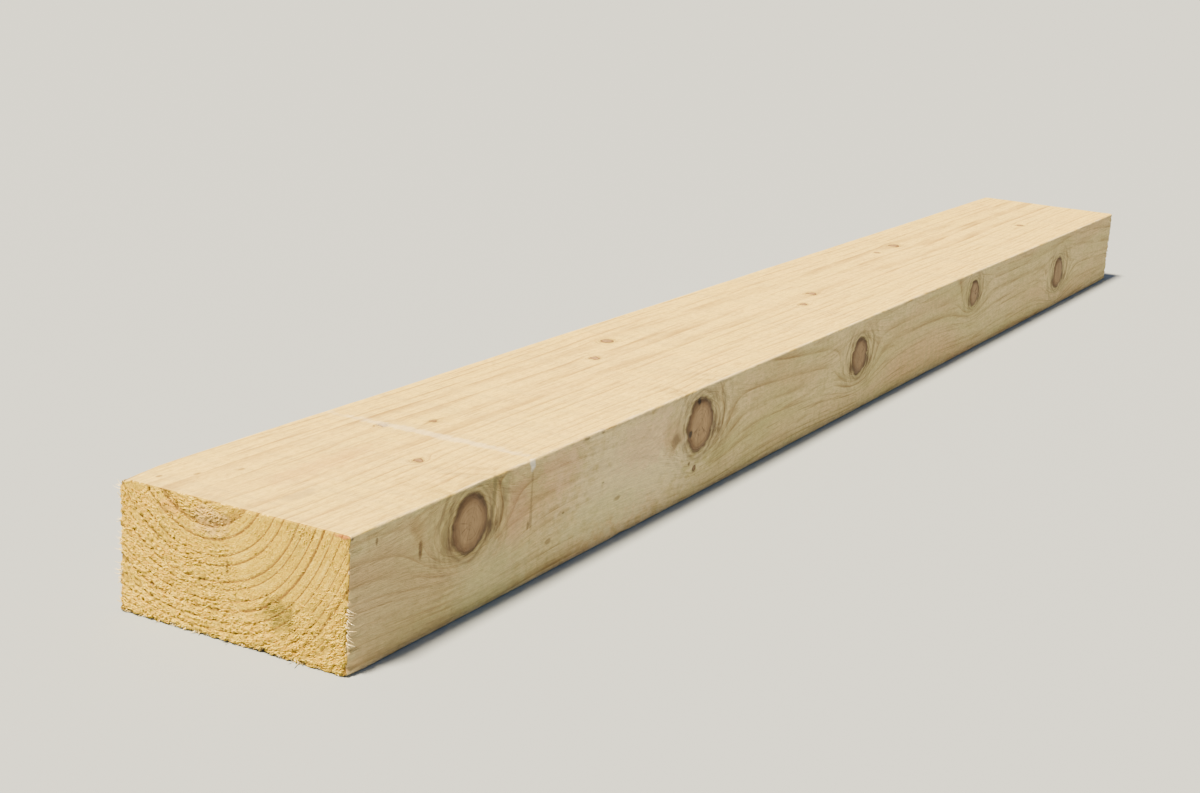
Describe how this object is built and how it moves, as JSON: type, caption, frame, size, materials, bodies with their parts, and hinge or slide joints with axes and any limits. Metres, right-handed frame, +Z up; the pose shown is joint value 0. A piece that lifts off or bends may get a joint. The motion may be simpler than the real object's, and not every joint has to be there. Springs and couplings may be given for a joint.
{
  "type": "railway sleeper",
  "caption": "Long rectangular baulk of sawn, pressure-treated softwood with rough cross-cut ends, for edging, retaining walls and raised beds.",
  "frame": {"origin": "centre of the bed face, the flat face that the sleeper lies on", "axes": "+X along the length, +Y across the width, +Z up through the thickness; the pictured end faces -X"},
  "size_m": [2.4, 0.25, 0.125],
  "materials": {
    "treated_softwood": "sawn, matt, pressure treated"
  },
  "bodies": {
    "root": {"sleeper": "treated_softwood"}
  },
  "joints": []
}
